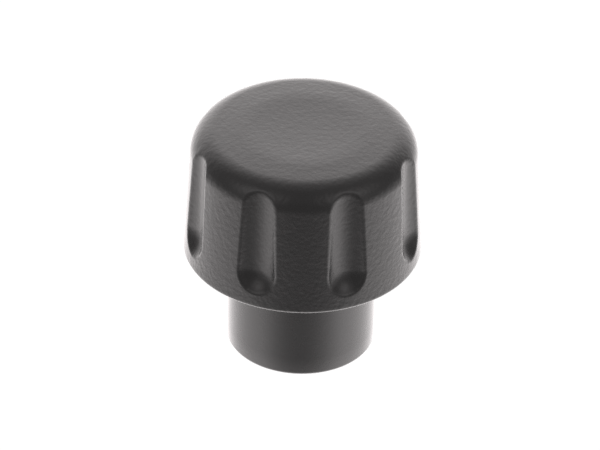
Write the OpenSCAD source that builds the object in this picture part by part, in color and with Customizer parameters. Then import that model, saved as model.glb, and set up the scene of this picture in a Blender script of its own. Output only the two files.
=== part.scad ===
// Fluted clamping knob: a moulded plastic head and hub in one piece, set around
// a turned brass bush with a tapped blind hole.
// Millimetres. The origin is the centre of the hub's end face, +Z runs up the
// knob's axis, and a land between two flutes faces -Y.

/* [Head] */
// Diameter of the head across its lower rim
head_d = 32; // [30.5:0.5:40]
// Height of the head, from its flat underside to the sink's edge, its highest part
head_h = 18.6; // [17:0.05:24]
// Draft of the head's side, narrower towards the top, in degrees
head_draft = 3.6; // [3:0.1:4.5]
// Radius of the rounded edge around the top face
top_edge_r = 3.55; // [3:0.05:4.2]
// Radius of the lower rim's edge
rim_edge_r = 0.4; // [0.2:0.05:0.55]
// Radius of the shallow moulding sink in the top face
sink_r = 8; // [6:0.5:9]
// Depth of the sink at its middle, below its edge
sink_depth = 0.15; // [0.1:0.01:0.25]
// Radius of the top face's slight crown, which falls away outside the sink
crown_r = 200; // [160:10:300]

/* [Flutes] */
// Number of finger flutes around the head
flute_count = 8; // [6:1:8]
// Radius of a flute's round section
flute_r = 3.95; // [3.5:0.05:4.5]
// Depth of a flute below the side, at the start of its round lower end
flute_depth = 1.25; // [1:0.05:1.4]
// Lean of the flute's floor towards the axis, in degrees
flute_lean = 1.25; // [1:0.05:2]
// Height above the rim at which a flute's round lower end starts
flute_end_h = 5.25; // [4.8:0.05:6.5]
// Radius of the wide shallow cut that eases the flute's lips
lip_r = 12; // [11:0.5:13]
// How far the easing reaches past the flute's lips
lip_ease = 0.25; // [0.2:0.05:0.3]

/* [Hub] */
// Diameter of the plain hub
hub_d = 20.2; // [18:0.1:22]
// Length of the hub, from its end face to the head's underside
hub_h = 14.55; // [12:0.05:18]
// Radius of the edge around the hub's end face
hub_edge_r = 0.5; // [0.3:0.1:0.8]
// Radius of the inside corner where the hub meets the head
hub_root_r = 0.6; // [0.3:0.1:1]

/* [Threaded bush] */
// Drilled diameter of the tapped hole (6.8 is the tapping drill for M8)
tap_d = 6.8; // [5:0.1:6.8]
// Depth of the full-diameter hole
tap_depth = 14; // [10:0.5:14.5]
// Width of the countersink at the hole's mouth
tap_sink = 0.8; // [0.4:0.1:1]
// Width of the bush's hexagon across its flats
bush_af = 12; // [11.5:0.5:13]
// Whole length of the bush
bush_l = 17; // [17:0.5:18.5]
// Diameter of the round collar that shows in the hub's end face
bush_collar_d = 11.5; // [10.5:0.5:11.5]
// Length of the collar
bush_collar_l = 2; // [1.5:0.5:3]
// Diameter at the bottom of the retaining groove
groove_d = 10; // [9.5:0.25:10.5]
// Width of the retaining groove
groove_w = 3; // [2:0.5:4]

/* [Hidden] */
$fn = 96;

head_r = head_d / 2;
hub_r = hub_d / 2;
total_h = hub_h + head_h;

// outward unit normal of the head's side, and its distance from the origin,
// with the side's line running through the sharp rim corner
side_n = [cos(head_draft), sin(head_draft)];
side_k = side_n * [head_r, hub_h];
// where a circle of radius r whose centre is at height z touches the side
function side_x(r, z) = (side_k - r - side_n[1] * z) / side_n[0];
// radius of the head's side at height z
function side_r(z) = side_x(0, z);

// the crown's centre on the axis; its curve runs through the sink's edge
crown_z = total_h - sqrt(crown_r * crown_r - sink_r * sink_r);
// centre of the top edge's round, which touches the side and, from inside, the crown
edge_b = crown_z + side_x(top_edge_r, 0) * tan(head_draft);
edge_c = pow(side_x(top_edge_r, 0), 2) + crown_z * crown_z - pow(crown_r - top_edge_r, 2);
edge_z = cos(head_draft) * (cos(head_draft) * edge_b + sqrt(pow(cos(head_draft) * edge_b, 2) - edge_c));
top_c = [side_x(top_edge_r, edge_z), edge_z];
// direction in which the top edge's round meets the crown
top_a = atan2(edge_z - crown_z, top_c[0]);
rim_c = [side_x(rim_edge_r, hub_h + rim_edge_r), hub_h + rim_edge_r];
hub_c = [hub_r - hub_edge_r, hub_edge_r];
root_c = [hub_r + hub_root_r, hub_h - hub_root_r];

// round lower end of a flute: the height of its centre, and its floor's radius
end_z = hub_h + flute_end_h;
floor_r = side_r(end_z) - flute_depth;
// corner of the flute's section: angle from the flute's middle at radius R,
// for a round section of radius q whose centre is at radius c
function corner_a(R, c, q) = acos((R * R + c * c - q * q) / (2 * R * c));
// floor of the easing cut, so that its edge lies lip_ease outside the flute's corner
function ease_floor(z) =
    let (R = side_r(z),
         c = floor_r - (z - end_z) * tan(flute_lean) + flute_r,
         a = corner_a(R, c, flute_r) + lip_ease / R * 180 / PI)
    R * cos(a) + sqrt(lip_r * lip_r - pow(R * sin(a), 2)) - lip_r;
ease_top_z = total_h - top_edge_r;
ease_floor_r = ease_floor(end_z);
ease_lean = atan((ease_floor_r - ease_floor(ease_top_z)) / (ease_top_z - end_z));
// height of the easing cut's round end, so that it reaches lip_ease below the flute's
ease_end_z = end_z - lip_ease
    - sqrt(pow(flute_r, 2) - pow(flute_r - flute_depth, 2))
    + sqrt(pow(lip_r, 2) - pow(lip_r - (side_r(end_z) - ease_floor_r), 2));

// drawing sizes
over = 0.0006;
cut_top = total_h + 6;
drill_tip = tap_d / 2 / tan(59);
sink_curve_r = (sink_r * sink_r + sink_depth * sink_depth) / (2 * sink_depth);

// sector of a circle, reaching a little past the two directions and the radius, so
// that it crosses its neighbours instead of only touching them
module pie(c, r, a0, a1) {
    translate(c) intersection() {
        circle(r = r + over);
        polygon([[0, 0], 3 * r * [cos(a0 - 15), sin(a0 - 15)], 3 * r * [cos(a1 + 15), sin(a1 + 15)]]);
    }
}

// half section of the unfluted knob
module blank_section() {
    difference() {
        union() {
            polygon([
                [0, 0],
                [hub_c[0], 0], hub_c, [hub_r, hub_c[1]],
                [hub_r, root_c[1]], root_c, [root_c[0], hub_h],
                [rim_c[0], hub_h], rim_c, rim_c + rim_edge_r * side_n,
                top_c + top_edge_r * side_n, top_c, [0, top_c[1]]
            ]);
            intersection() {
                translate([0, crown_z]) circle(r = crown_r, $fn = 1600);
                polygon([[0, hub_h], top_c, top_c + 2 * top_edge_r * [cos(top_a), sin(top_a)], [0, total_h + 2 * top_edge_r]]);
            }
            pie(hub_c, hub_edge_r, -90, 0);
            pie(rim_c, rim_edge_r, -90, head_draft);
            pie(top_c, top_edge_r, head_draft, top_a);
        }
        pie(root_c, hub_root_r, 90, 180);
    }
}

// round-ended rod standing on its ball end, with the ball's centre at the origin
module ball_rod(r, h) {
    rotate_extrude() union() {
        intersection() {
            circle(r = r);
            translate([0, -2 * r]) square([2 * r, 2 * r]);
        }
        square([r, h]);
    }
}

// one flute in +X: the round floor, and the shallow cut that eases its lips
module flute() {
    translate([floor_r + flute_r, 0, end_z])
        rotate([0, -flute_lean, 0]) ball_rod(flute_r, cut_top - end_z);
    translate([ease_floor_r + (ease_end_z - end_z) * -tan(ease_lean) + lip_r, 0, ease_end_z])
        rotate([0, -ease_lean, 0]) ball_rod(lip_r, cut_top - ease_end_z);
}

// shallow dish in the top face
module sink() {
    rotate_extrude() intersection() {
        translate([0, total_h - sink_depth + sink_curve_r]) circle(r = sink_curve_r, $fn = 1600);
        translate([0, total_h - 1]) square([sink_r + 2, 2]);
    }
}

// outside of the bush: collar, hexagon and retaining groove
module bush_blank() {
    mid = (bush_collar_l + bush_l) / 2;
    cylinder(d = bush_collar_d, h = bush_collar_l + 1);
    difference() {
        translate([0, 0, bush_collar_l])
            cylinder(d = bush_af / cos(30), h = bush_l - bush_collar_l, $fn = 6);
        translate([0, 0, mid - groove_w / 2]) difference() {
            cylinder(d = bush_af * 1.5, h = groove_w);
            translate([0, 0, -1]) cylinder(d = groove_d, h = groove_w + 2);
        }
    }
}

// tapped blind hole with its countersink and drill point
module tapped_hole() {
    r = tap_d / 2;
    rotate_extrude() polygon([
        [0, -1], [r + tap_sink + 1, -1], [r, tap_sink],
        [r, tap_depth], [0, tap_depth + drill_tip]
    ]);
}

// moulded head and hub
module knob_body() {
    color([0.05, 0.05, 0.052]) difference() {
        // the turned blank's seam lies in the middle of a flute, which takes it away
        rotate([0, 0, 180 / flute_count]) rotate_extrude() blank_section();
        for (i = [0 : flute_count - 1])
            rotate([0, 0, (i + 0.5) * 360 / flute_count]) flute();
        sink();
        bush_blank();
    }
}

// turned bush that the body is moulded around
module threaded_bush() {
    color([0.78, 0.62, 0.32]) difference() {
        bush_blank();
        tapped_hole();
    }
}

knob_body();
threaded_bush();
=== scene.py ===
import math

import bpy
import numpy as np
from mathutils import Matrix, Vector


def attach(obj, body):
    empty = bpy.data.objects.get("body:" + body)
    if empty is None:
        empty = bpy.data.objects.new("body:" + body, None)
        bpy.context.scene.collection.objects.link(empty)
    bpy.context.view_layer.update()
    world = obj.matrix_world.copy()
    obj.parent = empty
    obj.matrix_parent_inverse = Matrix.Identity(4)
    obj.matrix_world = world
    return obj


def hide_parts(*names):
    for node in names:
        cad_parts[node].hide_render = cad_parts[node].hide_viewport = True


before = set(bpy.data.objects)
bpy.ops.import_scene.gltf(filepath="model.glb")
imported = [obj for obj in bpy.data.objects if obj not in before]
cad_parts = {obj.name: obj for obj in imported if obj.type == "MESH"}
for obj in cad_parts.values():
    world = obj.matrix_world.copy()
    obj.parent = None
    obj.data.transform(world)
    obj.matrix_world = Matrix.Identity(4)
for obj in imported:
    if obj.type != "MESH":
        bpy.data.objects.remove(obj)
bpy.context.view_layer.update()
scene = bpy.context.scene
MM = 0.001

# ---------------------------------------------------------------- sizes, in mm
# They repeat the CAD part's sizes.
HEAD_R, HEAD_H, DRAFT = 15.997, 18.6, math.radians(3.6)  # a hair under 16, inside the CAD mesh's facets
TOP_R, RIM_R = 3.55, 0.4
SINK_R, SINK_D, CROWN_R = 8.0, 0.15, 200.0
SINK_EASE = 0.09
FLUTES, FLUTE_R, FLUTE_D, FLUTE_LEAN = 8, 3.95, 1.25, math.radians(1.25)
FLUTE_END = 5.25
LIP_R = 0.2
HUB_R, HUB_H, HUB_EDGE, HUB_ROOT = 10.1, 14.55, 0.5, 0.6
TAP_R, TAP_DEPTH, TAP_SINK = 3.4, 14.0, 0.8
BUSH_AF, BUSH_L, COLLAR_R, COLLAR_L = 12.0, 17.0, 5.75, 2.0
GROOVE_R, GROOVE_W = 5.0, 3.0
THREAD_P, THREAD_D = 1.25, 0.6
TOP = HUB_H + HEAD_H

SIDE_N = np.array([math.cos(DRAFT), math.sin(DRAFT)])
SIDE_K = SIDE_N[0] * HEAD_R + SIDE_N[1] * HUB_H
# the crown's centre on the axis, and the round edge that touches it and the side
CROWN_Z = TOP - math.sqrt(CROWN_R ** 2 - SINK_R ** 2)
EDGE_A = (SIDE_K - TOP_R) / SIDE_N[0]
EDGE_B = math.cos(DRAFT) * (CROWN_Z + EDGE_A * math.tan(DRAFT))
TOP_CZ = math.cos(DRAFT) * (EDGE_B + math.sqrt(EDGE_B ** 2 - EDGE_A ** 2 - CROWN_Z ** 2 + (CROWN_R - TOP_R) ** 2))
TOP_CX = EDGE_A - TOP_CZ * math.tan(DRAFT)
TOP_A = math.atan2(TOP_CZ - CROWN_Z, TOP_CX)
TOP_EX = TOP_CX + TOP_R * math.cos(TOP_A)
RIM_CZ = HUB_H + RIM_R
RIM_CX = (SIDE_K - RIM_R - SIDE_N[1] * RIM_CZ) / SIDE_N[0]
END_Z = HUB_H + FLUTE_END
FLOOR_R = (SIDE_K - SIDE_N[1] * END_Z) / SIDE_N[0] - FLUTE_D


# ------------------------------------------------------------- the head's form
def blank_distance(r, z):
    """Signed distance to the unfluted head: side, crowned top face and the round edge between them."""
    side = SIDE_N[0] * r + SIDE_N[1] * z - SIDE_K
    crown = np.hypot(r, z - CROWN_Z) - CROWN_R
    dr, dz = r - TOP_CX, z - TOP_CZ
    angle = np.arctan2(dz, dr)
    edge = np.hypot(dr, dz) - TOP_R
    return np.where((angle > DRAFT) & (angle < TOP_A), edge, np.maximum(side, crown))


def flute_distance(x, y, z):
    """Signed distance to the nearest flute: a ball-ended rod that leans towards the axis."""
    pitch = 2 * math.pi / FLUTES
    a = np.mod(np.arctan2(y, x), pitch) - pitch / 2
    r = np.hypot(x, y)
    px, py, pz = r * np.cos(a) - (FLOOR_R + FLUTE_R), r * np.sin(a), z - END_Z
    along = np.maximum(-px * math.sin(FLUTE_LEAN) + pz * math.cos(FLUTE_LEAN), 0)
    qx, qz = px + along * math.sin(FLUTE_LEAN), pz - along * math.cos(FLUTE_LEAN)
    return np.sqrt(qx * qx + py * py + qz * qz) - FLUTE_R


def head_distance(x, y, z):
    """The blank less the flutes, with rounded lips."""
    a, b = blank_distance(np.hypot(x, y), z), -flute_distance(x, y, z)
    u, v = np.maximum(LIP_R + a, 0), np.maximum(LIP_R + b, 0)
    return np.minimum(-LIP_R, np.maximum(a, b)) + np.sqrt(u * u + v * v)


def hexagon(angle, apothem):
    """Radius of a hexagon at an angle, with a corner at angle 0."""
    return apothem / np.cos(np.mod(angle, math.pi / 3) - math.pi / 6)


def columns():
    """Angles of the body's grid lines: closer together along the flutes' lips, one at each corner of the bush's hexagon."""
    half, n, lip = math.radians(22.5), 32, math.radians(9.3)
    t = np.linspace(0, half, 4001)
    density = 1 + 2.4 * np.exp(-(((t - lip) / math.radians(1.9)) ** 2))
    run = np.concatenate([[0], np.cumsum((density[1:] + density[:-1]) / 2)])
    a = np.interp(np.linspace(0, run[-1], n + 1), run, t)
    a[np.argmin(np.abs(a - math.radians(7.5)))] = math.radians(7.5)
    one = np.concatenate([-a[:0:-1], a[:-1]])
    return np.concatenate([one + math.radians(22.5 + 45 * i) for i in range(FLUTES)])


def body_rows(angles):
    """Rows of (x, y, z), from the middle of the top face down the outside, under the hub, and up the inside of the bush's seat."""
    rows = []
    for r in np.concatenate([np.linspace(0, 6.4, 9)[1:], np.linspace(6.8, 9.2, 7), np.linspace(9.2, TOP_EX, 5)[1:-1]]):
        sink, crown = TOP - SINK_D * (1 - (r / SINK_R) ** 2), CROWN_Z + math.sqrt(CROWN_R ** 2 - r ** 2)
        near_edge = max(1 - abs(sink - crown) / SINK_EASE, 0)
        rows.append((r, min(sink, crown) - near_edge ** 2 * SINK_EASE / 4, 0.0, 1.0))
    for t in np.linspace(TOP_A, DRAFT, 33):
        rows.append((TOP_CX + TOP_R * math.cos(t), TOP_CZ + TOP_R * math.sin(t), math.cos(t), math.sin(t)))
    high, low = TOP_CZ + TOP_R * SIDE_N[1], RIM_CZ + RIM_R * SIDE_N[1]
    heights = np.concatenate([np.linspace(high, 20.2, 42)[1:], np.linspace(20.2, 16.3, 36)[1:], np.linspace(16.3, low, 7)[1:]])
    for z in heights:
        rows.append(((SIDE_K - SIDE_N[1] * z) / SIDE_N[0], z, SIDE_N[0], SIDE_N[1]))
    for t in np.linspace(DRAFT, -math.pi / 2, 8)[1:]:
        rows.append((RIM_CX + RIM_R * math.cos(t), RIM_CZ + RIM_R * math.sin(t), math.cos(t), math.sin(t)))
    skin = len(rows)
    for r in np.linspace(RIM_CX, HUB_R + HUB_ROOT, 5)[1:]:
        rows.append((r, HUB_H, 0.0, -1.0))
    for t in np.linspace(math.pi / 2, math.pi, 8)[1:]:
        rows.append((HUB_R + HUB_ROOT * (1 + math.cos(t)), HUB_H - HUB_ROOT * (1 - math.sin(t)), 0.0, 0.0))
    for z in np.linspace(HUB_H - HUB_ROOT, HUB_EDGE, 7)[1:]:
        rows.append((HUB_R, z, 1.0, 0.0))
    for t in np.linspace(0, -math.pi / 2, 8)[1:]:
        rows.append((HUB_R - HUB_EDGE + HUB_EDGE * math.cos(t), HUB_EDGE + HUB_EDGE * math.sin(t), 0.0, 0.0))
    rows.append((7.5, 0.0, 0.0, 0.0))
    rows.append((COLLAR_R, 0.0, 0.0, 0.0))
    rows = np.array(rows)
    c, s = np.cos(angles), np.sin(angles)
    x, y = rows[:, :1] * c, rows[:, :1] * s
    z = np.repeat(rows[:, 1:2], len(angles), 1)
    nx, ny, nz = rows[:skin, 2:3] * c, rows[:skin, 2:3] * s, np.repeat(rows[:skin, 3:4], len(angles), 1)
    x0, y0, z0 = x[:skin].copy(), y[:skin].copy(), z[:skin].copy()
    near, far = np.zeros_like(x0), np.full_like(x0, 3.0)
    cut = head_distance(x0, y0, z0) > 1e-7
    for _ in range(40):
        mid = (near + far) / 2
        outside = head_distance(x0 - mid * nx, y0 - mid * ny, z0 - mid * nz) > 0
        near, far = np.where(outside, mid, near), np.where(outside, far, mid)
    t = np.where(cut, (near + far) / 2, 0)
    x[:skin], y[:skin], z[:skin] = x0 - t * nx, y0 - t * ny, z0 - t * nz
    grid = [np.stack([x[i], y[i], z[i]], -1) for i in range(len(rows))]

    def ring(radius, height):
        return np.stack([radius * c, radius * s, np.full_like(c, height)], -1)

    hex_r = hexagon(angles, BUSH_AF / 2)
    g0 = (COLLAR_L + BUSH_L - GROOVE_W) / 2
    grid += [ring(COLLAR_R, COLLAR_L), ring(hex_r, COLLAR_L), ring(hex_r, g0), ring(GROOVE_R, g0),
             ring(GROOVE_R, g0 + GROOVE_W), ring(hex_r, g0 + GROOVE_W), ring(hex_r, BUSH_L), ring(2.5, BUSH_L)]
    return grid, (0, 0, TOP - SINK_D), (0, 0, BUSH_L)


def thread_radius(angle, z):
    """Radius of the tapped hole's wall: an internal right-hand thread that runs out at the hole's end."""
    u = np.mod((z - THREAD_P * angle / (2 * math.pi)) / THREAD_P, 1.0)
    flank = THREAD_D * math.tan(math.radians(30)) / THREAD_P
    root = 0.2
    d = np.abs(u - 0.5) - root / 2
    depth = np.clip(1 - d / flank, 0, 1)
    fade = np.clip((13.2 - z) / 1.6, 0, 1)
    return TAP_R + THREAD_D * depth * fade


def bush_rows(angles):
    c, s = np.cos(angles), np.sin(angles)

    def ring(radius, height):
        return np.stack([radius * c, radius * s, np.full_like(c, height)], -1)

    hex_r = hexagon(angles, BUSH_AF / 2)
    g0 = (COLLAR_L + BUSH_L - GROOVE_W) / 2
    chamfer = 0.15
    grid = [ring(2.5, BUSH_L), ring(hex_r, BUSH_L), ring(hex_r, g0 + GROOVE_W), ring(GROOVE_R, g0 + GROOVE_W), ring(GROOVE_R, g0),
            ring(hex_r, g0), ring(hex_r, COLLAR_L), ring(COLLAR_R, COLLAR_L), ring(COLLAR_R, chamfer), ring(COLLAR_R - chamfer, 0.0)]
    for r in np.linspace(COLLAR_R - chamfer, TAP_R + TAP_SINK, 5)[1:]:
        grid.append(ring(r, 0.0))
    for z in np.linspace(0, 13.4, 216)[1:]:
        grid.append(ring(np.maximum(thread_radius(angles, z), TAP_R + TAP_SINK - z), z))
    grid.append(ring(TAP_R, TAP_DEPTH))
    tip = TAP_DEPTH + TAP_R / math.tan(math.radians(59))
    for k in (0.75, 0.5, 0.25):
        grid.append(ring(TAP_R * k, TAP_DEPTH + (tip - TAP_DEPTH) * (1 - k)))
    return grid, (0, 0, BUSH_L), (0, 0, tip)


def closed_mesh(name, grid, first, last, sharp):
    """A closed mesh from rows of points around the axis, capped by a point at each end."""
    m, n = len(grid), len(grid[0])
    points = np.concatenate([np.array([first]), np.concatenate(grid), np.array([last])]) * MM
    faces = [(0, 1 + j, 1 + (j + 1) % n) for j in range(n)]
    for i in range(m - 1):
        a, b = 1 + i * n, 1 + (i + 1) * n
        faces += [(a + j, b + j, b + (j + 1) % n, a + (j + 1) % n) for j in range(n)]
    a, end = 1 + (m - 1) * n, 1 + m * n
    faces += [(a + j, end, a + (j + 1) % n) for j in range(n)]
    mesh = bpy.data.meshes.new(name)
    mesh.from_pydata(points.tolist(), [], faces)
    mesh.validate()
    mesh.update()
    mesh.shade_smooth()
    mesh.set_sharp_from_angle(angle=math.radians(sharp))
    piece = bpy.data.objects.new(name, mesh)
    scene.collection.objects.link(piece)
    return piece


# -------------------------------------------------------------------- materials
class Tree:
    """Short names for making and joining shader nodes."""

    def __init__(self, owner):
        owner.use_nodes = True
        self.tree = owner.node_tree
        self.tree.nodes.clear()

    def node(self, kind, **values):
        n = self.tree.nodes.new("ShaderNode" + kind)
        for k, v in values.items():
            setattr(n, k, v)
        return n

    def put(self, socket, value):
        if isinstance(value, bpy.types.NodeSocket):
            self.tree.links.new(value, socket)
        else:
            socket.default_value = value

    def math(self, op, a, b=0.0, c=0.0):
        n = self.node("Math", operation=op)
        for i, v in enumerate((a, b, c)):
            self.put(n.inputs[i], v)
        return n.outputs[0]

    def step(self, value, a, b, lo=0.0, hi=1.0):
        """Smooth step from lo at a to hi at b."""
        n = self.node("MapRange", interpolation_type="SMOOTHSTEP")
        for k, v in (("Value", value), ("From Min", a), ("From Max", b), ("To Min", lo), ("To Max", hi)):
            self.put(n.inputs[k], v)
        return n.outputs["Result"]

    def noise(self, vector, scale, detail=2.0, roughness=0.5):
        n = self.node("TexNoise")
        self.put(n.inputs["Vector"], vector)
        for k, v in (("Scale", scale), ("Detail", detail), ("Roughness", roughness)):
            n.inputs[k].default_value = v
        return n.outputs["Fac"]


def black_plastic():
    """Moulded black plastic: fine matt grain on the head, smoother satin on the hub."""
    mat = bpy.data.materials.new("black_plastic")
    t = Tree(mat)
    where = t.node("TexCoord").outputs["Object"]
    xyz = t.node("SeparateXYZ")
    t.put(xyz.inputs[0], where)
    head = t.step(xyz.outputs["Z"], (HUB_H - 0.3) * MM, (HUB_H + 0.2) * MM)
    grain = t.noise(where, 1500, 1.0, 0.5)
    fine = t.noise(where, 3700, 1.0, 0.5)
    cloud = t.noise(where, 210, 2.0, 0.5)
    height = t.math("MULTIPLY_ADD", fine, 0.12, grain)
    bump = t.node("Bump")
    bump.inputs["Distance"].default_value = 0.000042
    t.put(bump.inputs["Height"], height)
    r = t.math("SQRT", t.math("ADD", t.math("POWER", xyz.outputs["X"], 2.0), t.math("POWER", xyz.outputs["Y"], 2.0)))
    depth = t.math("MULTIPLY_ADD", xyz.outputs["Z"], -math.tan(DRAFT), (HEAD_R + HUB_H * math.tan(DRAFT)) * MM)
    flute = t.step(t.math("SUBTRACT", depth, r), 0.1 * MM, 0.6 * MM, 0.0, 0.4)
    flute = t.math("MULTIPLY", flute, t.step(xyz.outputs["Z"], TOP_CZ * MM, (TOP_CZ + 1.5) * MM, 1.0, 0.0))
    matt = t.math("MULTIPLY", head, t.math("SUBTRACT", 0.85, flute))
    t.put(bump.inputs["Strength"], t.math("ADD", matt, 0.13))
    rough = t.math("MULTIPLY_ADD", head, 0.05, 0.27)
    rough = t.math("MULTIPLY_ADD", cloud, 0.05, rough)
    rough = t.math("ADD", rough, -0.025)
    shader = t.node("BsdfPrincipled")
    shader.inputs["Base Color"].default_value = (0.0012, 0.0011, 0.0011, 1)
    shader.inputs["Specular IOR Level"].default_value = 0.5
    t.put(shader.inputs["Roughness"], rough)
    t.put(shader.inputs["Normal"], bump.outputs[0])
    out = t.node("OutputMaterial")
    t.put(out.inputs["Surface"], shader.outputs[0])
    return mat


def turned_brass():
    """Brass with fine concentric turning marks and slight tarnish."""
    mat = bpy.data.materials.new("turned_brass")
    t = Tree(mat)
    where = t.node("TexCoord").outputs["Object"]
    xyz = t.node("SeparateXYZ")
    t.put(xyz.inputs[0], where)
    r = t.math("SQRT", t.math("ADD", t.math("POWER", xyz.outputs["X"], 2.0), t.math("POWER", xyz.outputs["Y"], 2.0)))
    flat = t.node("CombineXYZ")
    t.put(flat.inputs["X"], r)
    t.put(flat.inputs["Z"], xyz.outputs["Z"])
    marks = t.noise(flat.outputs[0], 9000, 2.0, 0.6)
    stain = t.noise(where, 600, 4.0, 0.6)
    ramp = t.node("ValToRGB")
    ramp.color_ramp.elements[0].position, ramp.color_ramp.elements[0].color = 0.3, (0.50, 0.34, 0.13, 1)
    ramp.color_ramp.elements[1].position, ramp.color_ramp.elements[1].color = 0.65, (0.74, 0.54, 0.24, 1)
    t.put(ramp.inputs[0], stain)
    bump = t.node("Bump")
    bump.inputs["Distance"].default_value = 0.000006
    bump.inputs["Strength"].default_value = 0.6
    t.put(bump.inputs["Height"], marks)
    shader = t.node("BsdfPrincipled")
    shader.inputs["Metallic"].default_value = 1.0
    t.put(shader.inputs["Base Color"], ramp.outputs[0])
    t.put(shader.inputs["Roughness"], t.step(stain, 0.3, 0.7, 0.34, 0.22))
    t.put(shader.inputs["Normal"], bump.outputs[0])
    out = t.node("OutputMaterial")
    t.put(out.inputs["Surface"], shader.outputs[0])
    return mat


# ------------------------------------------------------------------- the object
body = closed_mesh("knob_body_visual", *body_rows(columns()), 32)
body.data.materials.append(black_plastic())
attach(body, "root")
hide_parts("knob_body")

bush = closed_mesh("threaded_bush_visual", *bush_rows(np.arange(192) * 2 * math.pi / 192), 25)
bush.data.materials.append(turned_brass())
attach(bush, "root")
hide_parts("threaded_bush")


# -------------------------------------------------------------- floor and light
def pale_floor():
    mesh = bpy.data.meshes.new("floor")
    h = 6.0
    mesh.from_pydata([(-h, -h, 0), (h, -h, 0), (h, h, 0), (-h, h, 0)], [], [(0, 1, 2, 3)])
    floor = bpy.data.objects.new("floor", mesh)
    scene.collection.objects.link(floor)
    mat = bpy.data.materials.new("white_floor")
    t = Tree(mat)
    glow = t.node("Emission")
    glow.inputs["Color"].default_value = (1, 1, 1, 1)
    glow.inputs["Strength"].default_value = 1.05
    out = t.node("OutputMaterial")
    t.put(out.inputs["Surface"], glow.outputs[0])
    mesh.materials.append(mat)
    floor.visible_glossy = False
    floor.visible_diffuse = False
    floor.visible_shadow = False


def studio():
    """Soft light from a broad bright wall behind the object and a bright table below it, in a dimmer room with a soft lamp above the wall and one at each side of the camera."""
    world = bpy.data.worlds.new("studio")
    scene.world = world
    t = Tree(world)
    way = t.node("TexCoord").outputs["Generated"]

    def along(x, y, z):
        n = t.node("VectorMath", operation="DOT_PRODUCT")
        t.put(n.inputs[0], way)
        n.inputs[1].default_value = (x, y, z)
        return n.outputs["Value"]

    def lamp(light, power, azimuth, height, focus):
        """A round soft lamp; azimuth 0 is behind the object, 90 at its right."""
        a, e = math.radians(azimuth), math.radians(height)
        toward = along(math.sin(a) * math.cos(e), math.cos(a) * math.cos(e), math.sin(e))
        spread = t.math("EXPONENT", t.math("MULTIPLY_ADD", toward, focus, -focus))
        return t.math("MULTIPLY_ADD", spread, power, light)

    wall = t.step(along(-0.103, 1, 0), 0.228, 1.706)
    table = t.math("MULTIPLY", t.step(along(0, 0, -1), -0.087, 1.004), t.step(along(0, -1, 0), 0.278, 0.957, 0.736, 0.0))
    dark = t.math("MULTIPLY", t.math("SUBTRACT", 1.0, wall), t.math("SUBTRACT", 1.0, table))
    side = t.math("MULTIPLY_ADD", along(1, 0, 0), 0.104 * 4.403, 4.403)
    light = t.math("MULTIPLY_ADD", t.math("SUBTRACT", 1.0, dark), side, 0.536)
    light = lamp(light, 0.806, 0, 59.5, 6.34)
    light = lamp(light, 1.455, 130.3, 30.9, 17.78)
    light = lamp(light, 1.356, -130.3, 30.9, 17.78)
    room = t.node("Background")
    room.inputs["Color"].default_value = (0.985, 0.945, 0.945, 1)
    t.put(room.inputs["Strength"], light)
    white = t.node("Background")
    white.inputs["Color"].default_value = (1, 1, 1, 1)
    white.inputs["Strength"].default_value = 1.05
    mix = t.node("MixShader")
    t.put(mix.inputs[0], t.node("LightPath").outputs["Is Camera Ray"])
    t.put(mix.inputs[1], room.outputs[0])
    t.put(mix.inputs[2], white.outputs[0])
    out = t.node("OutputWorld")
    t.put(out.inputs["Surface"], mix.outputs[0])


def camera():
    """The photograph's viewpoint: 34.9 degrees above the floor, with a long lens."""
    down, distance, focal, roll = 0.6095, 0.47525, 3544.66, 0.0195
    centre = (302.54, 231.70)  # where the point below lies in the 600 x 450 picture
    point = Vector((0, 0, 0.016535))
    ahead = Vector((0, math.cos(down), -math.sin(down)))
    right = Vector((1, 0, 0))
    up = right.cross(ahead)
    right, up = math.cos(roll) * right + math.sin(roll) * up, math.cos(roll) * up - math.sin(roll) * right
    pixel = distance / focal
    data = bpy.data.cameras.new("camera")
    data.sensor_width, data.lens = 36, 36 * focal / 600
    data.clip_start, data.clip_end = 0.01, 30
    cam = bpy.data.objects.new("camera", data)
    scene.collection.objects.link(cam)
    place = Matrix((right, up, -ahead)).transposed().to_4x4()
    place.translation = point - distance * ahead - right * ((centre[0] - 300) * pixel) + up * ((centre[1] - 225) * pixel)
    cam.matrix_world = place
    scene.camera = cam


pale_floor()
studio()
camera()
scene.view_settings.view_transform = "Standard"

bpy.context.view_layer.update()
